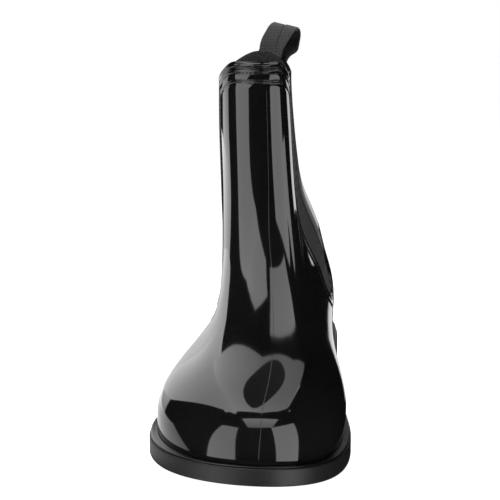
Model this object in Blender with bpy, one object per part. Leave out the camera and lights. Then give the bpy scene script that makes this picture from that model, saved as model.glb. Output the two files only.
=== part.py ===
"""Black rubber ankle boot for the right foot, at its real size in metres.

The toe points to -Y, the inner side of the foot to +X and the leg to +Z. The boot stands on its sole at
Z = 0. The upper is a hollow shell lofted through closed sections, from where it meets the sole to the
collar. Every other piece takes its place from the same section function, so the pieces follow one another.
"""

import math

import bmesh
import bpy
import numpy as np

# Driving dimensions
SOLE_LENGTH = 0.272
BALL_WIDTH = 0.101
UPPER_HEIGHT = 0.170
HEEL_RISE = 0.0175
TOE_SPRING = 0.0055
SOLE_THICKNESS = 0.0085
WALL = 0.0022
GAP = 0.0003

# Sole
WELT_HEIGHT = 0.0024
WELT_INSET = 0.0007
SOLE_CHAMFER = 0.0010
INSOLE_THICKNESS = 0.0035
INSOLE_CLEARANCE = 0.0006
INSOLE_SEAT = 0.0005
SPRING_START = -0.072
RISE_START = -0.026
RISE_END = 0.092
BREAST = 0.058
BREAST_SLOPE = 0.003
GROOVE_WIDTH = 0.0045
GROOVE_DEPTH = 0.0026
GROOVE_RIM = 0.008
GROOVE_BEND = 0.006
GROOVE_SPANS = 6
FOREFOOT_GROOVES = np.linspace(-0.108, -0.014, 8)
HEEL_GROOVES = np.linspace(0.079, 0.115, 4)

# Elastic gores
GORE_FOOT_ALONG = 0.047
GORE_FOOT_UP = 0.0565
GORE_FOOT_HALF = 0.0145
GORE_TOP_ALONG = 0.070
GORE_TOP_UP = 0.210
GORE_TOP_HALF = 0.0285
GORE_THICKNESS = 0.0015
GORE_RECESS = 0.0004
GORE_TURNS = (math.radians(38), math.radians(152))
GORE_LOWEST_LEVEL = 1.2
GORE_SPLIT = -0.004

# Collar
COLLAR_DIP = 0.0095
DIP_FRONT_START = 0.35
DIP_BACK_START = 0.10
DIP_FULL = 0.92
DIP_LEVELS = 1.2

# Pull loop
LOOP_TURN = math.radians(169)
LOOP_WIDTH = 0.0175
LOOP_THICKNESS = 0.0019
LOOP_LEAN = 0.32
LOOP_FREE = 0.012

# Mesh density
TURN_STEPS = 64
LEVEL_STEPS = 24
GORE_TURN_STEPS = 14
GORE_LEVEL_STEPS = 16
LOOP_STEPS = 24
LOOP_SPANS = 4

# Each row is one closed section of the upper, from the sole (first) to the collar (last). Places along the
# boot are shares of SOLE_LENGTH from the toe, and heights above the sole are shares of UPPER_HEIGHT. sag is
# the share of the sole's own curve that the section keeps.
PROFILE_COLUMNS = "front_along front_up back_along back_up sag".split()
PROFILES = {
    "feather": (0.021, 0.000, 0.979, 0.000, 1.00),
    "toe_wall": (0.017, 0.088, 0.987, 0.092, 0.80),
    "toe_edge": (0.037, 0.159, 0.987, 0.178, 0.45),
    "toe_top": (0.090, 0.229, 0.980, 0.253, 0.20),
    "vamp": (0.205, 0.314, 0.968, 0.337, 0.08),
    "low_instep": (0.326, 0.414, 0.957, 0.422, 0.00),
    "instep": (0.411, 0.538, 0.951, 0.510, 0.00),
    "ankle": (0.463, 0.672, 0.953, 0.616, 0.00),
    "shaft": (0.497, 0.840, 0.969, 0.783, 0.00),
    "collar": (0.530, 1.050, 0.990, 0.982, 0.00),
}

# Sideways sizes of the same sections, as shares of BALL_WIDTH. front_side and back_side are where the ends
# lie sideways, nose and heel the radii of those ends, and fore, mid and rear the half widths at STATIONS on
# the outer and the inner side of the foot.
BREADTH_COLUMNS = (
    "front_side back_side nose outer_fore outer_mid outer_rear inner_fore inner_mid inner_rear heel"
).split()
BREADTHS = {
    "feather": (0.110, 0.03, 0.300, 0.550, 0.37, 0.32, 0.370, 0.31, 0.31, 0.32),
    "toe_wall": (0.110, 0.03, 0.300, 0.550, 0.38, 0.33, 0.385, 0.32, 0.32, 0.32),
    "toe_edge": (0.100, 0.03, 0.275, 0.455, 0.35, 0.33, 0.345, 0.32, 0.32, 0.31),
    "toe_top": (0.080, 0.02, 0.240, 0.320, 0.28, 0.30, 0.280, 0.30, 0.31, 0.30),
    "vamp": (0.060, 0.01, 0.200, 0.250, 0.27, 0.28, 0.235, 0.28, 0.28, 0.28),
    "low_instep": (0.045, 0.00, 0.185, 0.240, 0.27, 0.27, 0.200, 0.23, 0.25, 0.25),
    "instep": (0.030, -0.02, 0.180, 0.240, 0.26, 0.25, 0.175, 0.18, 0.20, 0.22),
    "ankle": (0.010, -0.04, 0.180, 0.235, 0.26, 0.23, 0.165, 0.17, 0.17, 0.19),
    "shaft": (-0.010, -0.07, 0.180, 0.230, 0.25, 0.21, 0.165, 0.17, 0.16, 0.17),
    "collar": (-0.030, -0.09, 0.180, 0.220, 0.23, 0.20, 0.165, 0.17, 0.16, 0.16),
}
STATIONS = (0.0, 0.28, 0.58, 0.85, 1.0)
SOLE_EDGE_PROFILE = (0.000, 0.000, 1.000, 0.000, 1.00)
SOLE_EDGE_BREADTH = (0.110, 0.03, 0.340, 0.595, 0.415, 0.36, 0.412, 0.350, 0.345, 0.37)

# The pull loop's path, from its foot inside the collar over the top to its foot outside. Its columns are the
# distance out from the collar's outside and the height above its rim.
LOOP_PATH = {
    "inside_foot": (-0.0036, -0.022),
    "inside_hold": (-0.0036, -0.010),
    "inside_rim": (-0.0036, 0.000),
    "inside_rise": (-0.0030, 0.008),
    "shoulder": (0.0000, 0.0140),
    "crown": (0.0060, 0.0172),
    "back_shoulder": (0.0122, 0.0150),
    "back": (0.0142, 0.0090),
    "knee": (0.0118, 0.0052),
    "tuck": (0.0056, 0.0018),
    "outside_rim": (0.0022, -0.0030),
    "outside_hold": (0.0014, -0.011),
    "outside_foot": (0.0014, -0.022),
}

COLUMNS = PROFILE_COLUMNS + BREADTH_COLUMNS
SECTIONS = [PROFILES[name] + BREADTHS[name] for name in PROFILES]
SOLE_EDGE = SOLE_EDGE_PROFILE + SOLE_EDGE_BREADTH
COLLAR = len(SECTIONS) - 1
WALL_LEVEL_HEIGHT = PROFILES["toe_wall"][1] * UPPER_HEIGHT
RIM_LEVEL_HEIGHT = (PROFILES["collar"][3] - PROFILES["shaft"][3]) * UPPER_HEIGHT
STATION_TURNS = np.arccos(1 - 2 * np.array(STATIONS))
TURNS = np.linspace(-math.pi, math.pi, TURN_STEPS, endpoint=False)


def cubic(knots, values, at):
    """Natural cubic spline through rows of values, read at the given places."""
    knots, values, at = np.asarray(knots, float), np.asarray(values, float), np.asarray(at, float)
    values = values.reshape(len(knots), -1)
    step = np.diff(knots)
    slope = np.diff(values, axis=0) / step[:, None]
    matrix, right = np.eye(len(knots)), np.zeros_like(values)
    for i in range(1, len(knots) - 1):
        matrix[i, i - 1 : i + 2] = step[i - 1], 2 * (step[i - 1] + step[i]), step[i]
        right[i] = 6 * (slope[i] - slope[i - 1])
    bend = np.linalg.solve(matrix, right)
    i = np.clip(np.searchsorted(knots, at) - 1, 0, len(knots) - 2)
    a, b, h = (knots[i + 1] - at)[:, None], (at - knots[i])[:, None], step[i][:, None]
    curve = (bend[i] * a**3 + bend[i + 1] * b**3) / (6 * h)
    return curve + (values[i] / h - bend[i] * h / 6) * a + (values[i + 1] / h - bend[i + 1] * h / 6) * b


def ease(value):
    """0 below 0, 1 above 1 and a smooth step between."""
    t = np.clip(value, 0.0, 1.0)
    return t * t * (3 - 2 * t)


def sole_top(y):
    """Height of the outsole's upper face: flat under the ball, raised to the heel and sprung at the toe."""
    toe = np.clip((SPRING_START - y) / (SOLE_LENGTH / 2 + SPRING_START), 0, None)
    heel = ease((y - RISE_START) / (RISE_END - RISE_START))
    return SOLE_THICKNESS + TOE_SPRING * toe**2 + HEEL_RISE * heel


def sole_bottom(y):
    """Height of the tread: it follows the upper face at toe and arch, and the heel stands on the floor."""
    block = np.clip((y - BREAST) / BREAST_SLOPE, 0, 1)
    return (sole_top(y) - SOLE_THICKNESS) * (1 - block)


def half_width(row, turn):
    """Signed sideways offset of a section at each turn: 0 at the toe end, positive on the inner side."""
    chord = (row["back_along"] - row["front_along"]) * SOLE_LENGTH
    nose, heel = (math.sqrt(row[end] * BALL_WIDTH * chord / 2) for end in ("nose", "heel"))
    places = list(zip(("fore", "mid", "rear"), STATION_TURNS[1:]))
    outer = [row["outer_" + place] * BALL_WIDTH / math.sin(at) for place, at in places]
    inner = [row["inner_" + place] * BALL_WIDTH / math.sin(at) for place, at in places]
    knots = np.array([*-STATION_TURNS[3:0:-1], *STATION_TURNS])
    laps = np.concatenate([knots + lap * 2 * math.pi for lap in (-1, 0, 1)])
    return np.sin(turn) * cubic(laps, [*outer[::-1], nose, *inner, heel] * 3, turn)[:, 0]


def section_points(columns, turn):
    """Points of one closed section at each turn, from one row of the table."""
    row = dict(zip(COLUMNS, columns))
    share = (1 - np.cos(turn)) / 2
    front, back = ((row[end] - 0.5) * SOLE_LENGTH for end in ("front_along", "back_along"))
    y = front + (back - front) * share
    middle = row["front_side"] + (row["back_side"] - row["front_side"]) * share
    x = middle * BALL_WIDTH + half_width(row, turn)
    above = (row["front_up"] + (row["back_up"] - row["front_up"]) * share) * UPPER_HEIGHT
    chord = sole_top(front) + (sole_top(back) - sole_top(front)) * share
    z = GAP + above + chord + row["sag"] * (sole_top(y) - chord)
    return np.stack([x, y, z], axis=-1)


def outer_skin(levels, turn):
    """Points of the upper's outside, an array of levels by turns."""
    levels, turn = np.atleast_1d(np.asarray(levels, float)), np.atleast_1d(np.asarray(turn, float))
    table = cubic(np.arange(COLLAR + 1), SECTIONS, levels)
    points = np.array([section_points(columns, turn) for columns in table])
    start = np.where(np.cos(turn) > 0, DIP_FRONT_START, DIP_BACK_START)
    dip = COLLAR_DIP * ease((np.abs(np.sin(turn)) - start) / (DIP_FULL - start))
    points[:, :, 2] -= dip * ease((levels[:, None] - COLLAR) / DIP_LEVELS + 1)
    return points


def skin_normals(levels, turn):
    """Outward unit normals of the upper's outside."""
    step = 1e-3
    levels, turn = np.atleast_1d(np.asarray(levels, float)), np.atleast_1d(np.asarray(turn, float))
    above, below = np.minimum(levels + step, COLLAR), np.maximum(levels - step, 0)
    along = outer_skin(above, turn) - outer_skin(below, turn)
    around = outer_skin(levels, turn + step) - outer_skin(levels, turn - step)
    normal = np.cross(around, along)
    return normal / np.linalg.norm(normal, axis=-1, keepdims=True)


def skin(levels, turn, depth):
    """The upper's outside moved inwards by depth."""
    return outer_skin(levels, turn) - depth * skin_normals(levels, turn)


def remove_objects():
    """Clear the scene."""
    for old in list(bpy.data.objects):
        bpy.data.objects.remove(old, do_unlink=True)


def finish(name, colour, roughness):
    """A plain material."""
    made = bpy.data.materials.new(name)
    made.use_nodes = True
    shader = made.node_tree.nodes["Principled BSDF"]
    shader.inputs["Base Color"].default_value = (*colour, 1)
    shader.inputs["Roughness"].default_value = roughness
    shader.inputs["Metallic"].default_value = 0
    return made


def add_object(name, points, faces, material=None):
    """A closed mesh object with its faces outwards."""
    mesh = bpy.data.meshes.new(name)
    mesh.from_pydata(np.asarray(points).reshape(-1, 3).tolist(), [], faces)
    shape = bmesh.new()
    shape.from_mesh(mesh)
    bmesh.ops.recalc_face_normals(shape, faces=shape.faces)
    shape.to_mesh(mesh)
    shape.free()
    made = bpy.data.objects.new(name, mesh)
    if material:
        mesh.materials.append(material)
    bpy.context.scene.collection.objects.link(made)
    return made


def bands(order, around):
    """Quads between each closed loop of points and the next, for loops taken in the given order."""
    return [
        (a * around + i, a * around + (i + 1) % around, b * around + (i + 1) % around, b * around + i)
        for a, b in zip(order, order[1:])
        for i in range(around)
    ]


def add_ring(name, loops, material):
    """A ring-shaped body from closed loops of points, where the last loop joins the first."""
    faces = bands([*range(len(loops)), 0], len(loops[0]))
    return add_object(name, loops, faces, material)


def add_plate(name, loops, material):
    """A plate from closed loops, bottom to top, capped by strips across the foot."""
    around = len(loops[0])
    half = around // 2
    faces = bands(range(len(loops)), around)
    for base in (0, (len(loops) - 1) * around):
        across = [(base + half - i, base + (half + i) % around) for i in range(half + 1)]
        for (a, b), (c, d) in zip(across, across[1:]):
            faces.append(tuple(dict.fromkeys((a, b, d, c))))
    return add_object(name, loops, faces, material)


def add_strip(name, loops, material):
    """A strip from closed loops, each one face's points and then the other's backwards, with closed ends."""
    around = len(loops[0])
    faces = bands(range(len(loops)), around)
    for first in (0, (len(loops) - 1) * around):
        last = first + around - 1
        faces += [(first + i, first + i + 1, last - i - 1, last - i) for i in range(around // 2 - 1)]
    return add_object(name, loops, faces, material)


def add_cutter(name, points, faces):
    """A tool body for a Boolean, which isn't a piece of the boot."""
    made = add_object(name, points, faces)
    made.hide_render = True
    made.display_type = "WIRE"
    return made


def cut(target, tool, operation):
    """Leave a Boolean with a tool body on an object."""
    boolean = target.modifiers.new(tool.name, "BOOLEAN")
    boolean.operation = operation
    boolean.solver = "EXACT"
    boolean.object = tool


def gore_outline(grow):
    """Side outline of a gore as (y, z) points: straight sides that open upwards and a round foot."""
    slope = (GORE_TOP_ALONG - GORE_FOOT_ALONG) / (GORE_TOP_UP - GORE_FOOT_UP)
    centre = GORE_FOOT_UP + GORE_FOOT_HALF
    rest = np.linspace(0, math.pi, 13)
    foot_y = GORE_FOOT_ALONG + slope * GORE_FOOT_HALF - (GORE_FOOT_HALF + grow) * np.cos(rest)
    foot_z = centre - (GORE_FOOT_HALF + grow) * np.sin(rest)
    rise = np.linspace(0, 1, 8)[1:]
    half = GORE_FOOT_HALF + (GORE_TOP_HALF - GORE_FOOT_HALF) * np.sin(rise * math.pi / 2) + grow
    side_z = centre + (GORE_TOP_UP - centre) * rise
    middle = GORE_FOOT_ALONG + slope * (side_z - GORE_FOOT_UP)
    front = np.stack([middle - half, side_z], axis=-1)[::-1]
    back = np.stack([middle + half, side_z], axis=-1)
    return np.concatenate([front, np.stack([foot_y, foot_z], axis=-1), back])


def add_gore_cutter(name, left, right, grow):
    """A gore's outline drawn out sideways."""
    outline = gore_outline(grow)
    count = len(outline)
    points = [(x, y, z) for x in (left, right) for y, z in outline]
    caps = [tuple(range(count)), tuple(range(2 * count - 1, count - 1, -1))]
    return add_cutter(name, points, bands((0, 1), count) + caps)


def upper(material):
    """The moulded shell: outside and inside skins joined at sole and collar, cut out for both gores."""
    levels = np.linspace(0, COLLAR, LEVEL_STEPS + 1)
    outside, inside = skin(levels, TURNS, 0), skin(levels, TURNS, WALL)
    shell = add_ring("upper", [*outside, *inside[::-1]], material)
    cut(shell, add_gore_cutter("gore_cut", -BALL_WIDTH, BALL_WIDTH, 0), "DIFFERENCE")
    return shell


def gore(side, direction, material):
    """An elastic panel: a layer of the shell's own form, kept where the gore's outline is."""
    turn = direction * np.linspace(*GORE_TURNS, GORE_TURN_STEPS)
    levels = np.linspace(GORE_LOWEST_LEVEL, COLLAR, GORE_LEVEL_STEPS)
    outside, inside = (skin(levels, turn, depth) for depth in (GORE_RECESS, GORE_RECESS + GORE_THICKNESS))
    loops = [[*front, *back[::-1]] for front, back in zip(outside, inside)]
    panel = add_strip(f"gore_{side}", loops, material)
    reach = (GORE_SPLIT, direction * BALL_WIDTH)
    cut(panel, add_gore_cutter(f"gore_{side}_outline", *reach, -GAP), "INTERSECT")
    return panel


def sole_turns():
    """Turns of the sole's loops, with the heel's breast added so that its face is steep."""
    edges = np.array([BREAST, BREAST + BREAST_SLOPE]) / SOLE_LENGTH + 0.5
    extra = np.arccos(1 - 2 * edges)
    half = np.sort(np.concatenate([TURNS[TURNS > 1e-6], extra]))
    return np.concatenate([[-math.pi], -half[::-1], [0], half])


def edge_loop(turn, inset, height):
    """A loop along the sole's edge, moved inwards by inset, at a height worked out from its place."""
    points = section_points(SOLE_EDGE, turn)
    ahead = section_points(SOLE_EDGE, turn + 1e-3) - section_points(SOLE_EDGE, turn - 1e-3)
    inward = np.stack([-ahead[:, 1], ahead[:, 0]], axis=-1) / np.linalg.norm(ahead[:, :2], axis=-1)[:, None]
    loop = points.copy()
    loop[:, :2] += inset * inward
    loop[:, 2] = height(points[:, 1])
    return loop


def outsole(material):
    """The sole with its arch, toe spring and heel block, and grooves that leave the main lugs standing."""
    turn = sole_turns()
    loops = [
        edge_loop(turn, SOLE_CHAMFER, sole_bottom),
        edge_loop(turn, 0, lambda y: sole_bottom(y) + SOLE_CHAMFER),
        edge_loop(turn, 0, lambda y: sole_top(y) - SOLE_CHAMFER),
        edge_loop(turn, SOLE_CHAMFER, sole_top),
    ]
    body = add_plate("outsole", loops, material)
    points, faces = [], []
    for place in [*FOREFOOT_GROOVES, *HEEL_GROOVES]:
        turn_there = math.acos(1 - 2 * (place / SOLE_LENGTH + 0.5))
        left, right = section_points(SOLE_EDGE, np.array([-turn_there, turn_there]))[:, 0]
        across = np.linspace(left + GROOVE_RIM, right - GROOVE_RIM, GROOVE_SPANS + 1)
        bow = place - GROOVE_BEND * (1 - np.linspace(-1, 1, GROOVE_SPANS + 1) ** 2)
        low, high = -GROOVE_DEPTH, sole_bottom(place) + GROOVE_DEPTH
        first = len(points)
        for x, y in zip(across, bow):
            front, back = y - GROOVE_WIDTH / 2, y + GROOVE_WIDTH / 2
            points += [(x, front, low), (x, back, low), (x, back, high), (x, front, high)]
        ends = [(3, 2, 1, 0), tuple(4 * GROOVE_SPANS + i for i in range(4))]
        faces += [tuple(first + i for i in face) for face in bands(range(GROOVE_SPANS + 1), 4) + ends]
    cut(body, add_cutter("tread_cut", points, faces), "DIFFERENCE")
    return body


def welt(material):
    """The strip that lies on the outsole around the foot of the upper."""
    foot = skin([0], TURNS, -GAP)[0]
    lip = skin([WELT_HEIGHT / WALL_LEVEL_HEIGHT], TURNS, -GAP)[0]
    for loop, above in ((foot, GAP), (lip, GAP + WELT_HEIGHT)):
        loop[:, 2] = sole_top(loop[:, 1]) + above
    outer_top = edge_loop(TURNS, WELT_INSET + SOLE_CHAMFER / 2, lambda y: sole_top(y) + GAP + WELT_HEIGHT)
    outer_edge = edge_loop(TURNS, WELT_INSET, lambda y: sole_top(y) + GAP + WELT_HEIGHT - SOLE_CHAMFER / 2)
    outer_foot = edge_loop(TURNS, WELT_INSET, lambda y: sole_top(y) + GAP)
    return add_ring("welt", [foot, lip, outer_top, outer_edge, outer_foot], material)


def insole(material):
    """The footbed that lies on the outsole inside the upper."""
    loops = []
    for above in (0, INSOLE_THICKNESS):
        loop = skin([above / WALL_LEVEL_HEIGHT], TURNS, WALL + INSOLE_CLEARANCE)[0]
        loop[:, 2] = sole_top(loop[:, 1]) + INSOLE_SEAT + above
        loops.append(loop)
    return add_plate("insole", loops, material)


def loop_point(across, out, up):
    """A point of the pull loop from its place across the strap, distance from the collar and height."""
    step = 1e-3
    rim = outer_skin(COLLAR, [LOOP_TURN - step, LOOP_TURN + step])[0]
    speed = np.linalg.norm(rim[1] - rim[0]) / (2 * step)
    level = COLLAR + min(up, 0) / RIM_LEVEL_HEIGHT
    turns = np.array([LOOP_TURN, LOOP_TURN + across / speed])
    middle, there = outer_skin(level, turns)[0]
    middle_out, there_out = skin_normals(level, turns)[0]
    near = outer_skin(level, [LOOP_TURN - step, LOOP_TURN + step])[0]
    along = (near[1] - near[0]) / np.linalg.norm(near[1] - near[0])
    wrapped = there + there_out * out
    flat = middle + along * across + middle_out * out
    free = ease(up / LOOP_FREE)
    rise = max(up, 0)
    return wrapped + (flat - wrapped) * free + np.array([LOOP_LEAN * rise * free, 0, rise])


def pull_loop(material):
    """The strap astride the back of the collar."""
    path = np.array(list(LOOP_PATH.values()))
    reach = np.concatenate([[0], np.cumsum(np.linalg.norm(np.diff(path, axis=0), axis=1))])
    line = cubic(reach, path, np.linspace(0, reach[-1], LOOP_STEPS + 1))
    run = np.gradient(line, axis=0)
    side = np.stack([run[:, 1], -run[:, 0]], axis=-1) / np.linalg.norm(run, axis=1)[:, None]
    across = np.linspace(-LOOP_WIDTH / 2, LOOP_WIDTH / 2, LOOP_SPANS + 1)
    loops = []
    for centre, offset in zip(line, side * LOOP_THICKNESS / 2):
        front, back = ([loop_point(u, *(centre + sign * offset)) for u in across] for sign in (-1, 1))
        loops.append([*front, *back[::-1]])
    return add_strip("pull_loop", loops, material)


def carry(pieces):
    """Hang everything on an empty that centres the boot's box over the origin."""
    corners = np.array([corner for piece in pieces for corner in piece.bound_box])
    middle = (corners.min(axis=0) + corners.max(axis=0)) / 2
    boot = bpy.data.objects.new("boot", None)
    boot.location = (-middle[0], -middle[1], 0)
    for part in list(bpy.context.scene.collection.objects):
        part.parent = boot
    bpy.context.scene.collection.objects.link(boot)


def main():
    """Build every piece of the boot."""
    remove_objects()
    gloss = finish("upper_gloss_rubber", (0.012, 0.012, 0.013), 0.12)
    matt = finish("sole_matt_rubber", (0.022, 0.022, 0.023), 0.55)
    strip = finish("welt_matt_rubber", (0.024, 0.024, 0.025), 0.50)
    elastic = finish("gore_elastic", (0.020, 0.020, 0.021), 0.90)
    webbing = finish("loop_webbing", (0.060, 0.060, 0.062), 0.85)
    lining = finish("insole_fabric", (0.030, 0.030, 0.031), 0.95)
    pieces = [outsole(matt), welt(strip), upper(gloss), pull_loop(webbing), insole(lining)]
    pieces += [gore(side, direction, elastic) for side, direction in (("outer", -1), ("inner", 1))]
    carry(pieces)


main()
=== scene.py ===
"""Looks of the black rubber ankle boot for the right foot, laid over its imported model.

The toe points to -Y, the inner side of the foot to +X and the leg to +Z, in metres. Every moulded piece is
laid on the same last, a stack of closed sections. A place on it is a level, from 0 at the sole to 9 at the
collar, and a turn, from 0 at the toe to pi at the heel, positive on the inner side.
"""

import math

import bpy
import numpy as np
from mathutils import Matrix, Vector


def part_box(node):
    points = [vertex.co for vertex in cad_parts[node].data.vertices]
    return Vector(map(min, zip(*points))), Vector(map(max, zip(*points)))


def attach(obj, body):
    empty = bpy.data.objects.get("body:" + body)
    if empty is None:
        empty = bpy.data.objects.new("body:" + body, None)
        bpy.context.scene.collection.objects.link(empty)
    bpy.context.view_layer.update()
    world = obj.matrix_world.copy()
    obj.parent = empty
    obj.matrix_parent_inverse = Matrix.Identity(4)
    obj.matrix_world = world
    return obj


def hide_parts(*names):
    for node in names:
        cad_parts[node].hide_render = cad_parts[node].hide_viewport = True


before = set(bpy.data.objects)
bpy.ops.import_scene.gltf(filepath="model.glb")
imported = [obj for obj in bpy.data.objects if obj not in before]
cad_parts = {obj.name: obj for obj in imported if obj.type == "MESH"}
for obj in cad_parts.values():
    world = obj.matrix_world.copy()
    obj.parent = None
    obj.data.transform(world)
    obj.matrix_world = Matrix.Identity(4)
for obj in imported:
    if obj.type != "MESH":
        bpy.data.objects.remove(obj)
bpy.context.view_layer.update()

MM = 0.001

# A small step of level or turn, for working out directions
NUDGE = 1e-3

# Sizes of the boot
SOLE_LENGTH = 0.272
BALL_WIDTH = 0.101
UPPER_HEIGHT = 0.170
HEEL_RISE = 0.0175
TOE_SPRING = 0.0055
SOLE_THICKNESS = 0.0085
WALL = 0.0022
GAP = 0.0003
SPRING_START = -0.072
RISE_START = -0.026
RISE_END = 0.092
BREAST = 0.058
BREAST_SLOPE = 0.003

# Sections of the last from the sole to the collar, in hundredths: places along the boot of SOLE_LENGTH from
# the toe, heights of UPPER_HEIGHT and sideways sizes of BALL_WIDTH. The sag is how far a section follows the
# bend of the outsole's upper face.
COLUMNS = (
    "front_along front_up back_along back_up sag "
    "front_side back_side nose outer_fore outer_mid outer_rear inner_fore inner_mid inner_rear heel"
).split()
LAST = {
    "feather": (1.68, 0, 97.9, 0, 100, 11, 3, 30, 55, 37, 32, 37, 31, 31, 32),
    "toe_wall": (1.7, 8.8, 98.7, 9.2, 80, 11, 3, 30, 55, 38, 33, 38.5, 32, 32, 32),
    "toe_edge": (3.7, 15.9, 98.7, 17.8, 45, 10, 3, 27.5, 45.5, 35, 33, 34.5, 32, 32, 31),
    "toe_top": (9, 22.9, 98, 25.3, 20, 8, 2, 24, 32, 28, 30, 28, 30, 31, 30),
    "vamp": (20.5, 31.4, 96.8, 33.7, 8, 6, 1, 20, 25, 27, 28, 23.5, 28, 28, 28),
    "low_instep": (32.6, 41.4, 95.7, 42.2, 0, 4.5, 0, 18.5, 24, 27, 27, 20, 23, 25, 25),
    "instep": (41.1, 53.8, 95.1, 51, 0, 3, -2, 18, 24, 26, 25, 17.5, 18, 20, 22),
    "ankle": (46.3, 67.2, 95.3, 61.6, 0, 1, -4, 18, 23.5, 26, 23, 16.5, 17, 17, 19),
    "shaft": (49.7, 84, 96.9, 78.3, 0, -1, -7, 18, 23, 25, 21, 16.5, 17, 16, 17),
    "collar": (53, 105, 99, 98.2, 0, -3, -9, 18, 22, 23, 20, 16.5, 17, 16, 16),
}
SECTIONS = np.array(list(LAST.values())) / 100
SOLE_EDGE = np.array([0, 0, 100, 0, 100, 11, 3, 34, 59.5, 41.5, 36, 41.2, 35, 34.5, 37]) / 100
STATIONS = (0.0, 0.28, 0.58, 0.85, 1.0)
COLLAR = len(LAST) - 1

# Heights of the level under the collar, at the heel, and of the first level, at the toe
RIM_LEVEL_HEIGHT = (SECTIONS[-1] - SECTIONS[-2])[COLUMNS.index("back_up")] * UPPER_HEIGHT
WALL_LEVEL_HEIGHT = SECTIONS[1][COLUMNS.index("front_up")] * UPPER_HEIGHT

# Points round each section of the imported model
PACKED_POINTS = 64

# Dip of the collar over the gores
COLLAR_DIP = 0.0095
DIP_FRONT_START = 0.35
DIP_BACK_START = 0.10
DIP_FULL = 0.92
DIP_LEVELS = 1.2

# Gore outline, seen from the side
GORE_FOOT_ALONG = 0.047
GORE_FOOT_UP = 0.0565
GORE_FOOT_HALF = 0.0145
GORE_TOP_ALONG = 0.070
GORE_TOP_UP = 0.210
GORE_TOP_HALF = 0.0285
GORE_THICKNESS = 0.0013
GORE_RECESS = 0.0005
GORE_SLOPE = (GORE_TOP_ALONG - GORE_FOOT_ALONG) / (GORE_TOP_UP - GORE_FOOT_UP)
GORE_FOOT_CENTRE = GORE_FOOT_UP + GORE_FOOT_HALF

# Moulded trim round the free edge: its width under the rim and beside a gore, and the corner's softness
TRIM_RIM = 0.0104
TRIM_GORE = 0.0075
TRIM_LEVELS = 0.30
TRIM_CORNER = 0.0034
EDGE_CORNER = 0.0024

# The trim's beads, from the free edge inwards. Each one has its start, end and height in millimetres under
# the rim, the same three beside a gore, the share of its width that each rounded shoulder takes, and its
# share of the waver.
BEADS = {
    "rim_roll": (0.0, 2.2, 0.68, 0.0, 1.3, 0.40, 0.49, 0.55),
    "wave_line": (2.4, 3.0, 0.20, 1.4, 1.65, 0.06, 0.49, 1.0),
    "second_roll": (3.2, 5.1, 0.55, 1.8, 3.0, 0.34, 0.49, 0.75),
    "broad_band": (5.4, 8.6, 0.14, 3.2, 5.6, 0.16, 0.14, 0.25),
    "cord_line": (8.8, 9.9, 0.28, 5.8, 7.3, 0.42, 0.49, 0.2),
}
SHOULDER_STEPS = 6
BEAD_GROOVE = 0.26 * MM
EDGE_FALL = 0.6

# The rounded lip of the free edge: how far each of its rings reaches past the edge and stands out of the last
LIP_REACH = np.array([0.30, 0.38, 0.38, 0.25, 0.0]) * MM
LIP_OUT = np.array([0.15 * MM, -0.35 * MM, -1.2 * MM, -1.9 * MM, -WALL])

# Where the trim turns from the rim down a gore: how sharply, and how far ahead of the corner
CORNER_BLEND = 40
CORNER_LEAD = 0.6

# The trim's lines under the rim waver: how far, how many times round the boot, and the second wave's share
WAVE_HEIGHT = 0.26 * MM
WAVE_COUNTS = (31, 47)
WAVE_SECOND = 0.7

# Grid counts of the upper: half the front and back panels' columns, and rows under, before and behind a gore.
# The rest are the points that its edges are worked out from.
FRONT_COLUMNS = 70
BACK_COLUMNS = 40
LOW_ROWS = 30
FRONT_ROWS = 90
BACK_ROWS = 60
EDGE_WRAP = 30
FOOT_POINTS = 60
SIDE_POINTS = 160
LEVEL_POINTS = 300

# The front parting line: level, and how many degrees it stands off the toe's middle
PARTING_LINE = {
    0.05: -1.6, 0.7: -1.1, 1.3: -0.4, 1.9: 0.4, 2.5: 2.8, 3.05: 5.4, 3.6: 7.4,
    4.1: 8.3, 4.75: 7.9, 5.45: 6.8, 6.0: 5.4, 7.0: 6.4, 7.9: 7.6, 8.62: 8.2,
}
PARTING_HALF = 0.20 * MM
PARTING_HEIGHT = 0.07 * MM
PARTING_SINK = 0.03 * MM
PARTING_ROOT = 0.25 * MM
PARTING_ROWS = 240
PARTING_COLUMNS = 7

# Ribs of the elastic, its clearance in the opening and the hem along its top
RIB_PITCH = 1.6 * MM
RIB_RELIEF = 0.22 * MM
RIB_STEPS = 6
GORE_CLEARANCE = 0.1 * MM
GORE_REACH = 0.031
GORE_UNDER_RIM = 0.1
GORE_FOOT_ROWS = 40
GORE_ROWS = 70
RIM_TURNS = (0.5, 2.6)
RIM_POINTS = 200
HEM_LEVELS = 0.34
HEM_SOFTNESS = 0.03
HEM_HEIGHT = 0.25 * MM

# Moulded stitches: distance from the free edge under the rim and beside a gore, length, radius and pitch, in
# millimetres, and how far out of the last they are laid
STITCHES = {
    "cord_stitches": (9.35, 6.85, 1.7, 0.24, 2.5),
    "roll_stitches": (5.25, 3.0, 1.4, 0.15, 2.2),
}
STITCH_SEAT = 0.12 * MM

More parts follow.
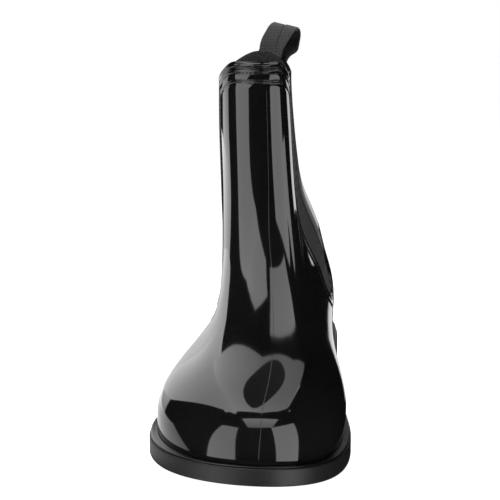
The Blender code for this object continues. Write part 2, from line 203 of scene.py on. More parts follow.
# Pull loop: distance out from the collar's outside and height above its rim in millimetres, from the foot in
# the wall's top edge to the foot on the outside
LOOP_PATH = {
    "inside_foot": (-1.1, -6),
    "inside_hold": (-1.1, -3),
    "inside_rim": (-1.1, 0),
    "inside_rise": (-1, 8),
    "shoulder": (1, 14),
    "crown": (6.4, 17.2),
    "back_shoulder": (12.2, 15),
    "back": (14.2, 9),
    "knee": (11.8, 5.2),
    "tuck": (5.6, 1.8),
    "outside_rim": (2.2, -3),
    "outside_hold": (1.4, -11),
    "outside_foot": (1.4, -22),
}
LOOP_TURN = math.radians(169)
LOOP_WIDTH = 0.0175
LOOP_THICKNESS = 0.0019
LOOP_LEAN = 0.32
LOOP_FREE = 0.012
STRAP_FLAT = 59
STRAP_EDGE = 9
STRAP_SPLIT = (STRAP_FLAT + STRAP_EDGE // 2, 2 * STRAP_FLAT + STRAP_EDGE + STRAP_EDGE // 2)
CREASE_DEPTH = 0.90 * MM
CREASE_HALF = 0.30 * MM
CREASE_SPAN = (0.008, 0.026)
CREASE_SLANT = 0.22
CREASE_FADE = (0.004, 0.002)
CREASE_PAST = 0.003
CROWN_STEP = 0.35 * MM
CROWN_FADE = (0.012, 0.03)
STRAP_STEPS = 121

# Sole
WELT_HEIGHT = 0.0024
WELT_INSET = 0.0007
WELT_TOE_SHARE = 0.22
WELT_ROUND = 0.5 * MM
WELT_RIDGE = 0.28 * MM
WELT_RIDGES = 4
WELT_LEAST_EDGE = 0.1 * MM
WELT_UNDERCUT = 0.1 * MM
WELT_STEPS = 361
WELT_TOE_TURNS = (0.3, 1.2)
RIDGE_STEPS = 10
RIDGE_POWER = 0.7
ROUND_STEPS = 6
SIDE_STEPS = 9
CAP_STEPS = 13
SOLE_STEPS = 150
INSOLE_STEPS = 100
INSOLE_THICKNESS = 0.0035
INSOLE_CLEARANCE = 0.0006
INSOLE_SEAT = 0.0005
INSOLE_RINGS = ((0, 0), (0.4, 0), (0.8, 0), (0.93, 0.25 * MM), (1.0, 0.9 * MM))
SOLE_ROUND = 0.0010
GROOVE_WIDTH = 0.0045
GROOVE_DEPTH = 0.0026
GROOVE_RIM = 0.008
GROOVE_BEND = 0.006
GROOVE_POINTS = 25
GROOVE_TAPER = 0.75
GROOVE_START = -0.005
SIPE_WIDTH = 0.0012
SIPE_DEPTH = 0.0013
SMOOTH_ANGLE = math.radians(40)
FOREFOOT_GROOVES = np.linspace(-0.108, -0.014, 8)
HEEL_GROOVES = np.linspace(0.079, 0.115, 4)

# Search for the place on the last of a point in the side view
SEARCH_COUNT = 60
SEARCH_LOWEST = 0.5
SEARCH_TURNS = (0.5, 2.7)
SEARCH_STEP = 1e-4
SEARCH_ROUNDS = 12

WELD_REACH = 2e-6


# The last

def cubic(knots, values, at):
    """Natural cubic spline through rows of values, read at the given places."""
    knots, values, at = np.asarray(knots, float), np.asarray(values, float), np.asarray(at, float)
    values = values.reshape(len(knots), -1)
    step = np.diff(knots)
    slope = np.diff(values, axis=0) / step[:, None]
    matrix, right = np.eye(len(knots)), np.zeros_like(values)
    for i in range(1, len(knots) - 1):
        matrix[i, i - 1 : i + 2] = step[i - 1], 2 * (step[i - 1] + step[i]), step[i]
        right[i] = 6 * (slope[i] - slope[i - 1])
    bend = np.linalg.solve(matrix, right)
    i = np.clip(np.searchsorted(knots, at) - 1, 0, len(knots) - 2)
    left, done, span = (knots[i + 1] - at)[:, None], (at - knots[i])[:, None], step[i][:, None]
    curve = (bend[i] * left**3 + bend[i + 1] * done**3) / (6 * span)
    first, second = (values[end] / span - bend[end] * span / 6 for end in (i, i + 1))
    return curve + first * left + second * done


def ease(value):
    """0 below 0, 1 above 1 and a smooth step between."""
    share = np.clip(value, 0.0, 1.0)
    return share * share * (3 - 2 * share)


def distances(points):
    """How far along a path each of its points lies."""
    return np.concatenate([[0], np.cumsum(np.linalg.norm(np.diff(points, axis=0), axis=1))])


def sole_top(y):
    """Height of the outsole's upper face: flat under the ball, raised to the heel and sprung at the toe."""
    toe = np.clip((SPRING_START - y) / (SOLE_LENGTH / 2 + SPRING_START), 0, None)
    heel = ease((y - RISE_START) / (RISE_END - RISE_START))
    return SOLE_THICKNESS + TOE_SPRING * toe**2 + HEEL_RISE * heel


def sole_bottom(y):
    """Height of the tread: it follows the upper face at toe and arch, and the heel stands on the floor."""
    block = np.clip((y - BREAST) / BREAST_SLOPE, 0, 1)
    return (sole_top(y) - SOLE_THICKNESS) * (1 - block)


def section_points(table, turn):
    """Points of the closed sections in the rows of table, each at its own turn."""
    row = dict(zip(COLUMNS, np.asarray(table).T))
    turn = (turn + math.pi) % (2 * math.pi) - math.pi
    share = (1 - np.cos(turn)) / 2
    front, back = ((row[end] - 0.5) * SOLE_LENGTH for end in ("front_along", "back_along"))
    y = front + (back - front) * share
    station = np.arccos(1 - 2 * np.array(STATIONS))
    knots = np.array([*-station[3:0:-1], *station])
    laps = np.concatenate([knots + lap * 2 * math.pi for lap in (-1, 0, 1)])
    weights = cubic(laps, np.eye(len(laps)), turn).reshape(-1, 3, len(knots)).sum(axis=1)
    nose, heel = (np.sqrt(row[end] * BALL_WIDTH * (back - front) / 2) for end in ("nose", "heel"))
    places = list(zip(("fore", "mid", "rear"), station[1:]))
    outer = [row["outer_" + place] * BALL_WIDTH / math.sin(at) for place, at in places]
    inner = [row["inner_" + place] * BALL_WIDTH / math.sin(at) for place, at in places]
    half = np.sin(turn) * (weights * np.stack([*outer[::-1], nose, *inner, heel], axis=1)).sum(axis=1)
    middle = row["front_side"] + (row["back_side"] - row["front_side"]) * share
    above = (row["front_up"] + (row["back_up"] - row["front_up"]) * share) * UPPER_HEIGHT
    chord = sole_top(front) + (sole_top(back) - sole_top(front)) * share
    z = GAP + above + chord + row["sag"] * (sole_top(y) - chord)
    return np.stack([middle * BALL_WIDTH + half, y, z], axis=-1)


def edge_points(turn):
    """Points of the sole's outline at each turn."""
    return section_points(np.tile(SOLE_EDGE, (len(turn), 1)), turn)


def centring():
    """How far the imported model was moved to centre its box, from the outsole's box."""
    turns = np.linspace(-math.pi, math.pi, PACKED_POINTS, endpoint=False)
    low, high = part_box("outsole")
    return np.array([low.x - edge_points(turns)[:, 0].min(), (low.y + high.y) / 2, 0])


SHIFT = centring()


def last_points(level, turn):
    """Points of the last at pairs of level and turn, before the boot is centred."""
    points = section_points(cubic(np.arange(COLLAR + 1), SECTIONS, level), turn)
    start = np.where(np.cos(turn) > 0, DIP_FRONT_START, DIP_BACK_START)
    dip = COLLAR_DIP * ease((np.abs(np.sin(turn)) - start) / (DIP_FULL - start))
    points[:, 2] -= dip * ease((level - COLLAR) / DIP_LEVELS + 1)
    return points


def skin(level, turn, out=0.0):
    """Points on the boot at levels and turns of one shape, moved out of the last's surface."""
    level, turn, out = np.broadcast_arrays(np.asarray(level, float), turn, out)
    shape, level, turn = level.shape, level.ravel(), turn.ravel()
    above = np.minimum(level + NUDGE, COLLAR)
    below = np.clip(level - NUDGE, 0, COLLAR - NUDGE)
    along = last_points(above, turn) - last_points(below, turn)
    around = last_points(level, turn + NUDGE) - last_points(level, turn - NUDGE)
    normal = np.cross(around, along)
    normal /= np.linalg.norm(normal, axis=1, keepdims=True)
    return (last_points(level, turn) + out.reshape(-1, 1) * normal + SHIFT).reshape(*shape, 3)


def find_place(y, z):
    """Level and turn, on the inner side, of the points of the last with these places in the side view."""
    levels = np.linspace(SEARCH_LOWEST, COLLAR, SEARCH_COUNT)
    rows, columns = np.meshgrid(levels, np.linspace(*SEARCH_TURNS, SEARCH_COUNT))
    level, turn = rows.ravel(), columns.ravel()
    seen = last_points(level, turn)[:, 1:]
    wanted = np.stack([y, z], axis=-1)
    nearest = np.array([np.argmin(np.sum((seen - place) ** 2, axis=1)) for place in wanted])
    level, turn = level[nearest], turn[nearest]
    for _ in range(SEARCH_ROUNDS):
        here = last_points(level, turn)[:, 1:]
        by_level = (last_points(level + SEARCH_STEP, turn)[:, 1:] - here) / SEARCH_STEP
        by_turn = (last_points(level, turn + SEARCH_STEP)[:, 1:] - here) / SEARCH_STEP
        missed = wanted - here
        area = by_level[:, 0] * by_turn[:, 1] - by_level[:, 1] * by_turn[:, 0]
        level = level + (missed[:, 0] * by_turn[:, 1] - missed[:, 1] * by_turn[:, 0]) / area
        turn = turn + (by_level[:, 0] * missed[:, 1] - by_level[:, 1] * missed[:, 0]) / area
    return level, turn


# Modelling helpers

def select_only(*objects):
    """Select these objects alone, or nothing, and make the first one active."""
    bpy.ops.object.select_all(action="DESELECT")
    for each in reversed(objects):
        each.select_set(True)
        bpy.context.view_layer.objects.active = each


def lay_grid(name, points, material):
    """Add a grid and lay its rows and columns of vertices on the given points."""
    rows, columns = points.shape[:2]
    select_only()
    bpy.ops.mesh.primitive_grid_add(x_subdivisions=columns - 1, y_subdivisions=rows - 1, size=1)
    made = bpy.context.object
    made.name = made.data.name = name
    made.data.vertices.foreach_set("co", points.astype(np.float32).ravel())
    made.data.update()
    made.data.materials.append(material)
    return made


def weld(*grids):
    """Join grids into the first one, merge the edges that they share and turn all faces outwards."""
    select_only(*grids)
    if len(grids) > 1:
        bpy.ops.object.join()
    bpy.ops.object.mode_set(mode="EDIT")
    bpy.ops.mesh.select_all(action="SELECT")
    bpy.ops.mesh.remove_doubles(threshold=WELD_REACH)
    bpy.ops.mesh.normals_make_consistent(inside=False)
    bpy.ops.object.mode_set(mode="OBJECT")
    bpy.ops.object.shade_smooth()
    return bpy.context.object


def place_on_boot(piece, slot, *nodes):
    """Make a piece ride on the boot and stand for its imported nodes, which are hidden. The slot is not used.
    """
    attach(piece, "root")
    if nodes:
        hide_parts(*nodes)


# Materials

def linear(code):
    """Linear colour with alpha from an sRGB hex code."""
    parts = [int(code[i : i + 2], 16) / 255 for i in (1, 3, 5)]
    return (*[part / 12.92 if part <= 0.04045 else ((part + 0.055) / 1.055) ** 2.4 for part in parts], 1.0)


def add_node(tree, kind, settings=(), links=()):
    """Add a shader node, set its properties and sockets, and link sockets from other nodes' outputs."""
    made = tree.nodes.new(kind)
    for key, value in dict(settings).items():
        if isinstance(key, int) or key in made.inputs:
            made.inputs[key].default_value = value
        else:
            setattr(made, key, value)
    for key, output in dict(links).items():
        tree.links.new(output, made.inputs[key])
    return made


def start_material(name, roughness, ior):
    """A new material, with its node tree, shader and the piece's own coordinates."""
    made = bpy.data.materials.new(name)
    made.use_nodes = True
    tree = made.node_tree
    shader = tree.nodes["Principled BSDF"]
    shader.inputs["Roughness"].default_value = roughness
    shader.inputs["IOR"].default_value = ior
    return made, tree, shader, add_node(tree, "ShaderNodeTexCoord").outputs["Object"]


def mottle(tree, shader, place, size, dark, light):
    """Slight, soft changes between two near colours, of about the given size in metres."""
    noise = add_node(tree, "ShaderNodeTexNoise", {"Scale": 1 / size, "Detail": 3.0}, {"Vector": place})
    ramp = add_node(tree, "ShaderNodeValToRGB", (), {"Fac": noise.outputs["Fac"]})
    for stop, code, at in zip(ramp.color_ramp.elements, (dark, light), (0.3, 0.7)):
        stop.color = linear(code)
        stop.position = at
    tree.links.new(ramp.outputs["Color"], shader.inputs["Base Color"])


def polished_pvc():
    """Moulded PVC from a polished tool: deep black with crisp reflections that waver very slightly."""
    made, tree, shader, spot = start_material("polished_black_pvc", 0.06, 1.53)
    mottle(tree, shader, spot, 30 * MM, "#0b0b0c", "#0e0e0f")
    haze = add_node(tree, "ShaderNodeTexNoise", {"Scale": 1 / (22 * MM), "Detail": 4.0}, {"Vector": spot})
    spread = add_node(
        tree, "ShaderNodeMapRange", {"To Min": 0.04, "To Max": 0.10}, {"Value": haze.outputs["Fac"]}
    )
    tree.links.new(spread.outputs["Result"], shader.inputs["Roughness"])
    peel = add_node(tree, "ShaderNodeTexNoise", {"Scale": 1 / (14 * MM), "Detail": 1.0}, {"Vector": spot})
    bump = add_node(
        tree, "ShaderNodeBump", {"Strength": 0.25, "Distance": 0.12 * MM}, {"Height": peel.outputs["Fac"]}
    )
    tree.links.new(bump.outputs["Normal"], shader.inputs["Normal"])
    return made


def grained_rubber(name, roughness, ior, dark, light, grit):
    """Rubber from a sandblasted tool: soft dull black with a fine even grain."""
    made, tree, shader, spot = start_material(name, roughness, ior)
    mottle(tree, shader, spot, 12 * MM, dark, light)
    grain = add_node(tree, "ShaderNodeTexNoise", {"Scale": 1 / grit, "Detail": 2.0}, {"Vector": spot})
    bump = add_node(
        tree, "ShaderNodeBump", {"Strength": 0.5, "Distance": 0.15 * MM}, {"Height": grain.outputs["Fac"]}
    )
    tree.links.new(bump.outputs["Normal"], shader.inputs["Normal"])
    return made


# The wave texture takes the sine of this many times its scaled coordinate
WAVE_TEXTURE_FACTOR = 20


def woven(name, roughness, dark, light, thread, turned=(0.0, 0.0, 0.0), sheen=0.2):
    """Cloth of crossed threads: dull, slightly furry, with the threads' own shadows between them."""
    made, tree, shader, place = start_material(name, roughness, 1.5)
    shader.inputs["Sheen Weight"].default_value = sheen
    shader.inputs["Sheen Roughness"].default_value = 0.5
    spot = add_node(tree, "ShaderNodeMapping", {"Rotation": turned}, {"Vector": place}).outputs["Vector"]
    scale = 2 * math.pi / WAVE_TEXTURE_FACTOR / thread
    bands = [
        add_node(
            tree,
            "ShaderNodeTexWave",
            {"wave_type": "BANDS", "bands_direction": way, "Scale": scale, "Distortion": 0.6, "Detail": 1.0},
            {"Vector": spot},
        ).outputs["Fac"]
        for way in ("Y", "Z")
    ]
    weave = add_node(tree, "ShaderNodeMath", {"operation": "MULTIPLY"}, {0: bands[0], 1: bands[1]})
    ramp = add_node(tree, "ShaderNodeValToRGB", (), {"Fac": weave.outputs["Value"]})
    for stop, code, at in zip(ramp.color_ramp.elements, (dark, light), (0.05, 0.8)):
        stop.color = linear(code)
        stop.position = at
    tree.links.new(ramp.outputs["Color"], shader.inputs["Base Color"])
    bump = add_node(
        tree, "ShaderNodeBump", {"Strength": 0.6, "Distance": 0.2 * MM}, {"Height": weave.outputs["Value"]}
    )
    tree.links.new(bump.outputs["Normal"], shader.inputs["Normal"])
    return made


# Grit and thread sizes are coarser than the real ones, which would be too fine to show in the render
GLOSS = polished_pvc()
SOLE_RUBBER = grained_rubber("matt_black_sole_rubber", 0.50, 1.46, "#0d0d0e", "#121213", 0.9 * MM)
WELT_RUBBER = grained_rubber("satin_black_welt_rubber", 0.30, 1.52, "#0b0b0c", "#0f0f10", 0.7 * MM)
ELASTIC = woven("black_ribbed_elastic", 0.85, "#060607", "#0e0e0f", 0.8 * MM, sheen=0.05)
ACROSS = (0, 0, math.pi / 2)
WEBBING = woven("grey_black_webbing", 0.8, "#1c1c1d", "#4c4c4e", 0.9 * MM, ACROSS, 0.4)
# A darker copy of the webbing, with less sheen, for the strap's back face: painted shade inside the loop
WEBBING_BACK_PAINTED_SHADE = woven("webbing_back_painted_shade", 0.9, "#080809", "#101011", 0.9 * MM, ACROSS, 0.05)
LINING = woven("charcoal_knit_lining", 0.95, "#141415", "#2a2a2b", 0.8 * MM)
FOOTBED = woven("charcoal_footbed_cloth", 0.95, "#18181a", "#2e2e30", 0.9 * MM, (0, math.pi / 2, 0))


# Upper

def gore_half(z, grow):
    """Half the width of a gore's opening at a height, measured along the boot."""
    rise = np.clip((z - GORE_FOOT_CENTRE) / (GORE_TOP_UP - GORE_FOOT_CENTRE), 0, None)
    swell = np.sin(np.minimum(rise, 1) * math.pi / 2)
    side = GORE_FOOT_HALF + (GORE_TOP_HALF - GORE_FOOT_HALF) * swell + grow
    radius = GORE_FOOT_HALF + grow
    drop = np.clip((GORE_FOOT_CENTRE - z) / radius, 0, 1)
    return np.where(z < GORE_FOOT_CENTRE, radius * np.sqrt(1 - drop**2), side)


def gore_middle(z):
    """Place along the boot of a gore's middle line at a height; its round foot stays on one place."""
    return GORE_FOOT_ALONG + GORE_SLOPE * (np.maximum(z, GORE_FOOT_CENTRE) - GORE_FOOT_UP)


def spaced(path, count):
    """The same path of levels and turns with its points spaced evenly on the boot."""
    reach = distances(last_points(*path))
    even = np.linspace(0, reach[-1], count + 1)
    return np.stack([np.interp(even, reach, line) for line in path])


def gore_side(way, grow, top_level, count):
    """Levels and turns up one side of a gore, from the middle of its foot to a level under the rim."""
    radius = GORE_FOOT_HALF + grow
    drop = np.linspace(0, math.pi / 2, FOOT_POINTS)[:-1]
    z = np.concatenate([
        GORE_FOOT_CENTRE - radius * np.cos(drop),
        np.linspace(GORE_FOOT_CENTRE, GORE_TOP_UP, SIDE_POINTS),
    ])
    level, turn = find_place(gore_middle(z) + way * gore_half(z, grow), z)
    last = np.argmax(level > top_level)
    share = (top_level - level[last - 1]) / (level[last] - level[last - 1])
    end = turn[last - 1] + share * (turn[last] - turn[last - 1])
    return spaced(np.stack([[*level[:last], top_level], [*turn[:last], end]]), count)


def half_edge(grow, top_level, softness):
    """Levels and turns along half the free edge: front rim, down and up round a gore, back rim.

    The corners are softened by averaging over nearby points.
    """
    front = gore_side(-1, grow, top_level, FRONT_ROWS)
    back = gore_side(1, grow, top_level, BACK_ROWS)
    spans = ((0, front[1, -1], FRONT_COLUMNS + 1), (back[1, -1], math.pi, BACK_COLUMNS + 1))
    rim_front, rim_back = (np.stack([np.full(span[2], top_level), np.linspace(*span)]) for span in spans)
    path = np.concatenate([rim_front, front[:, -2::-1], back[:, 1:], rim_back[:, 1:]], axis=1)
    first, last = path[:, EDGE_WRAP:0:-1], path[:, -2 : -EDGE_WRAP - 2 : -1]
    before = np.stack([first[0], -first[1]])
    after = np.stack([last[0], 2 * math.pi - last[1]])
    whole = np.concatenate([before, path, after], axis=1)
    reach = distances(last_points(*whole))
    weight = np.exp(-(((reach[:, None] - reach) / softness) ** 2) / 2) * np.gradient(reach)
    soft = (weight / weight.sum(axis=1, keepdims=True)) @ whole.T
    return soft[EDGE_WRAP:-EDGE_WRAP].T


def panel(edge, rim, bottom, middle_line):
    """Levels and turns of a panel, from the sole up to its trim, rows by columns.

    Rows are even along the panel's middle line and bend at its sides to meet the trim's edge.
    """
    share = np.linspace(-1, 1, 2 * rim.shape[1] - 1)
    top_level = np.concatenate([rim[0, :0:-1], rim[0]])
    top_turn = np.concatenate([-rim[1, :0:-1], rim[1]])
    low, corner = edge[:, 0], edge[:, -1]
    rise = ((middle_line - low[0]) / (rim[0, 0] - low[0]))[:, None]
    bend = edge[0][:, None] - low[0] - rise * (corner[0] - low[0])
    level = low[0] + rise * (top_level - low[0]) + share**4 * bend
    lean = edge[1][:, None] - (1 - rise) * low[1] - rise * corner[1]
    turn = (1 - rise) * low[1] * share + rise * top_turn + share * lean
    under = np.broadcast_to(bottom[:-1, None], (len(bottom) - 1, len(share)))
    level = np.concatenate([under, level])
    return level, np.concatenate([np.broadcast_to(low[1] * share, under.shape), turn])


def even_levels(low, high, turn, count):
    """Levels from low to high, spaced evenly on the boot along one turn."""
    fine = np.linspace(low, high, LEVEL_POINTS)
    return spaced(np.stack([fine, np.full(LEVEL_POINTS, turn)]), count)[0]


def bead_profile(first, last, height, shoulder):
    """Places and heights across one bead, from groove to groove."""
    rise = np.linspace(0, 1, SHOULDER_STEPS)
    across = np.concatenate([rise * shoulder, 1 - rise[::-1] * shoulder])
    swell = np.sin(math.pi / 2 * np.concatenate([rise, rise[::-1]]))
    return first + (last - first) * across, -BEAD_GROOVE + (height * MM + BEAD_GROOVE) * swell


def trim_profile(columns, width):
    """Shares across the trim and heights, from the free edge to the panel, for the rim or for a gore."""
    shares, heights = [], []
    for *sizes, shoulder, _ in BEADS.values():
        place, rise = bead_profile(*[sizes[i] for i in columns], shoulder)
        shares.append(place * MM / width)
        heights.append(rise)
    shares, heights = np.concatenate([*shares, [1.0]]), np.concatenate([*heights, [0.0]])
    heights[0] = heights[1] * EDGE_FALL
    return shares, heights


def waver(loop):
    """How far the trim's lines waver at each point of the free edge, for each row of the trim's profile."""
    reach = distances(last_points(*loop))
    round_boot = reach / reach[-1] * 2 * math.pi
    sway = np.sin(WAVE_COUNTS[0] * round_boot) + WAVE_SECOND * np.sin(WAVE_COUNTS[1] * round_boot + 1)
    rows = np.concatenate([np.full(2 * SHOULDER_STEPS, bead[-1]) for bead in BEADS.values()] + [[0.0]])
    rows[:SHOULDER_STEPS] = 0.0
    return WAVE_HEIGHT * rows[:, None] * sway


def whole_loop(half):
    """A closed loop from half of it: up the inner side to the heel, and back on the outer side."""
    level = np.concatenate([half[0], half[0, -2::-1]])
    return np.stack([level, np.concatenate([half[1], 2 * math.pi - half[1, -2::-1]])])


def upper():
    """The moulded shell: front and back panels that meet under the gores, trim, lip and lining."""
    free = half_edge(0, COLLAR, EDGE_CORNER)
    inner = half_edge(TRIM_GORE, COLLAR - TRIM_LEVELS, TRIM_CORNER)
    foot = FRONT_COLUMNS + FRONT_ROWS
    rim_front, front = inner[:, : FRONT_COLUMNS + 1], inner[:, FRONT_COLUMNS : foot + 1][:, ::-1]
    back, rim_back = inner[:, foot : foot + BACK_ROWS + 1], inner[:, foot + BACK_ROWS :][:, ::-1]
    facing_back = [np.stack([line[0], math.pi - line[1]]) for line in (back, rim_back)]
    low = front[0, 0]
    bottom = np.linspace(0, low, LOW_ROWS + 1)
    sectors = [
        panel(front, rim_front, bottom, even_levels(low, rim_front[0, 0], 0, FRONT_ROWS)),
        panel(*facing_back, bottom, even_levels(low, rim_back[0, 0], math.pi, BACK_ROWS)),
    ]
    sectors[1] = (sectors[1][0], math.pi - sectors[1][1])
    grids = [
        lay_grid("moulded_upper", skin(*sector, out), material)
        for sector in sectors
        for out, material in ((0.0, GLOSS), (-WALL, LINING))
    ]
    for sector in sectors:
        ring = np.stack([skin(0.0, sector[1][0], out) for out in (0.0, -WALL)])
        grids.append(lay_grid("feather", ring, GLOSS))

    loop_free, loop_inner = whole_loop(free), whole_loop(inner)
    count = free.shape[1]
    reach = np.linspace(0, 1, count)
    corners = np.array([FRONT_COLUMNS, foot + BACK_ROWS]) / (count - 1)
    past_front = ease((reach - corners[0]) * CORNER_BLEND + CORNER_LEAD)
    past_back = ease((reach - corners[1]) * CORNER_BLEND + 1 - CORNER_LEAD)
    on_rim = 1 - past_front * (1 - past_back)
    on_rim = np.concatenate([on_rim, on_rim[-2::-1]])
    under_rim = np.array(trim_profile((0, 1, 2), TRIM_RIM))[..., None]
    beside_gore = np.array(trim_profile((3, 4, 5), TRIM_GORE))[..., None]
    shares, heights = on_rim * under_rim + (1 - on_rim) * beside_gore
    shares += on_rim * waver(loop_free) / TRIM_RIM
    width = on_rim * TRIM_RIM + (1 - on_rim) * TRIM_GORE
    lining = np.repeat([[0.5], [1.0]], len(width), axis=1)
    shares = np.concatenate([shares[::-1], -LIP_REACH[:, None] / width, lining])
    lip = np.repeat(LIP_OUT[:, None], len(width), axis=1)
    heights = np.concatenate([heights[::-1], lip, np.full(lining.shape, -WALL)])
    level, turn = loop_free[:, None] + shares * (loop_inner - loop_free)[:, None]
    trim = skin(level, turn, heights)
    grids += [lay_grid("trim", trim[:-2], GLOSS), lay_grid("trim_back", trim[-3:], LINING)]
    return weld(*grids), loop_free, loop_inner, on_rim


upper_shell, free_edge, trim_edge, rim_share = upper()
place_on_boot(upper_shell, "upper_gloss_rubber", "upper")


def parting_line():
    """The fine raised line that the two halves of the tool leave down the front."""
    levels = np.linspace(min(PARTING_LINE), max(PARTING_LINE), PARTING_ROWS)
    turns = np.radians(cubic(list(PARTING_LINE), list(PARTING_LINE.values()), levels)[:, 0])
    across = np.linspace(-1, 1, PARTING_COLUMNS)
    passed = last_points(levels, turns + NUDGE) - last_points(levels, turns - NUDGE)
    speed = np.linalg.norm(passed, axis=1) / (2 * NUDGE)
    turn = turns[:, None] + across * PARTING_HALF / speed[:, None]
    out = PARTING_HEIGHT * np.cos(across * math.pi / 2) - PARTING_SINK
    top = skin(levels[:, None], turn, out)
    under = skin(levels[:, None], turn, -PARTING_ROOT)
    ridge = np.concatenate([top, under[:, ::-1], top[:, :1]], axis=1)
    return weld(lay_grid("parting_line", ridge, GLOSS))


place_on_boot(parting_line(), "upper_gloss_rubber")


# Gores

def gore(name, direction):
    """A panel of ribbed elastic, laid behind the opening's edge, with a folded hem along its top."""
    across = np.arange(-GORE_REACH, GORE_REACH, RIB_PITCH / RIB_STEPS)
    drop = np.linspace(math.pi / 2, 0, GORE_FOOT_ROWS)[:-1]
    low = GORE_FOOT_CENTRE - (GORE_FOOT_HALF - GORE_CLEARANCE) * np.sin(drop)
    rim = last_points(np.full(RIM_POINTS, COLLAR - GORE_UNDER_RIM), np.linspace(*RIM_TURNS, RIM_POINTS))
    top = np.interp(GORE_TOP_ALONG + across, rim[:, 1], rim[:, 2])
    rise = np.linspace(0, 1, GORE_ROWS)[:, None]
    high = GORE_FOOT_CENTRE + rise * (top - GORE_FOOT_CENTRE)
    z = np.concatenate([np.tile(low[:, None], len(across)), high])
    half = gore_half(z, -GORE_CLEARANCE)
    off = np.clip(np.broadcast_to(across, z.shape), -half, half)
    level, turn = find_place((gore_middle(z) + off).ravel(), z.ravel())
    level, turn = level.reshape(z.shape), direction * turn.reshape(z.shape)
    ribs = RIB_RELIEF * np.abs(np.sin(math.pi * off / RIB_PITCH))
    hem = HEM_HEIGHT * ease((level - (COLLAR - HEM_LEVELS)) / HEM_SOFTNESS)
    outside = skin(level, turn, -GORE_RECESS - RIB_RELIEF + ribs + hem)
    inside = skin(level, turn, -GORE_RECESS - GORE_THICKNESS)
    sides = (0, -1, np.s_[:, 0], np.s_[:, -1])
    border = [np.stack([outside[side], inside[side]]) for side in sides]
    grids = [lay_grid(name, outside, ELASTIC), lay_grid("gore_back", inside, ELASTIC)]
    return weld(*grids, *[lay_grid("gore_edge", strip, ELASTIC) for strip in border])


for foot_side, turn_sign in (("outer", -1), ("inner", 1)):
    place_on_boot(gore(f"elastic_{foot_side}", turn_sign), "gore_elastic", f"gore_{foot_side}")


# Stitches

def read_along(reach, rows, at):
    """Points or directions between the rows of a path, at distances along it."""
    return np.stack([np.interp(at, reach, column) for column in rows.T], axis=-1)


def stitches(name, under_rim, beside_gore, length, radius, pitch):
    """A row of moulded stitches along the trim, as one mesh of short rounded bars."""
    share = rim_share * under_rim / TRIM_RIM + (1 - rim_share) * beside_gore / TRIM_GORE
    level, turn = free_edge + share * (trim_edge - free_edge)
    path = skin(level, turn, STITCH_SEAT)
    reach = distances(path)
    starts = np.linspace(0, reach[-1], int(reach[-1] / pitch), endpoint=False)
    ends = [read_along(reach, path, at) for at in (starts, starts + length)]
    up = read_along(reach, skin(level, turn, STITCH_SEAT + MM) - path, starts)
    up /= np.linalg.norm(up, axis=1, keepdims=True)
    ahead = ends[1] - ends[0]
    sideways = np.cross(up, ahead / np.linalg.norm(ahead, axis=1, keepdims=True))
    select_only()
    bpy.ops.mesh.primitive_uv_sphere_add(segments=8, ring_count=6, radius=1)
    bar = bpy.context.object
    shape = np.array([corner.co for corner in bar.data.vertices])
    faces = [list(face.vertices) for face in bar.data.polygons]
    bpy.data.objects.remove(bar, do_unlink=True)
    middle = (ends[0] + ends[1]) / 2
    points = (
        middle[:, None]
        + shape[None, :, 2:] * ahead[:, None] / 2
        + shape[None, :, :1] * sideways[:, None] * radius
        + shape[None, :, 1:2] * up[:, None] * radius
    )
    mesh = bpy.data.meshes.new(name)
    all_faces = [[i + k * len(shape) for i in face] for k in range(len(middle)) for face in faces]
    mesh.from_pydata(points.reshape(-1, 3).tolist(), [], all_faces)
    mesh.materials.append(GLOSS)
    made = bpy.data.objects.new(name, mesh)
    bpy.context.scene.collection.objects.link(made)
    return weld(made)


for stitch_name, stitch_sizes in STITCHES.items():
    place_on_boot(stitches(stitch_name, *[size * MM for size in stitch_sizes]), "upper_gloss_rubber")


# Pull loop

def loop_points(across, out, up):
    """Points of the pull loop from places across the strap, distances from the collar and heights."""
    shape = across.shape
    across, out, up = across.ravel(), out.ravel(), up.ravel()
    ends = last_points(np.full(2, COLLAR), LOOP_TURN + np.array([-NUDGE, NUDGE]))
    speed = np.linalg.norm(ends[1] - ends[0]) / (2 * NUDGE)
    level = COLLAR + np.minimum(up, 0) / RIM_LEVEL_HEIGHT
    turn = np.full(len(level), LOOP_TURN)
    middle = skin(level, turn)
    outwards = skin(level, turn, 1.0) - middle
    passed = last_points(level, turn + NUDGE) - last_points(level, turn - NUDGE)
    along = passed / np.linalg.norm(passed, axis=1, keepdims=True)
    wrapped = skin(level, LOOP_TURN + across / speed, out)
    flat = middle + along * across[:, None] + outwards * out[:, None]
    free = ease(up / LOOP_FREE)
    points = wrapped + (flat - wrapped) * free[:, None]
    rise = np.maximum(up, 0)
    points[:, 0] += LOOP_LEAN * free * rise
    points[:, 2] += rise
    return points.reshape(*shape, 3)


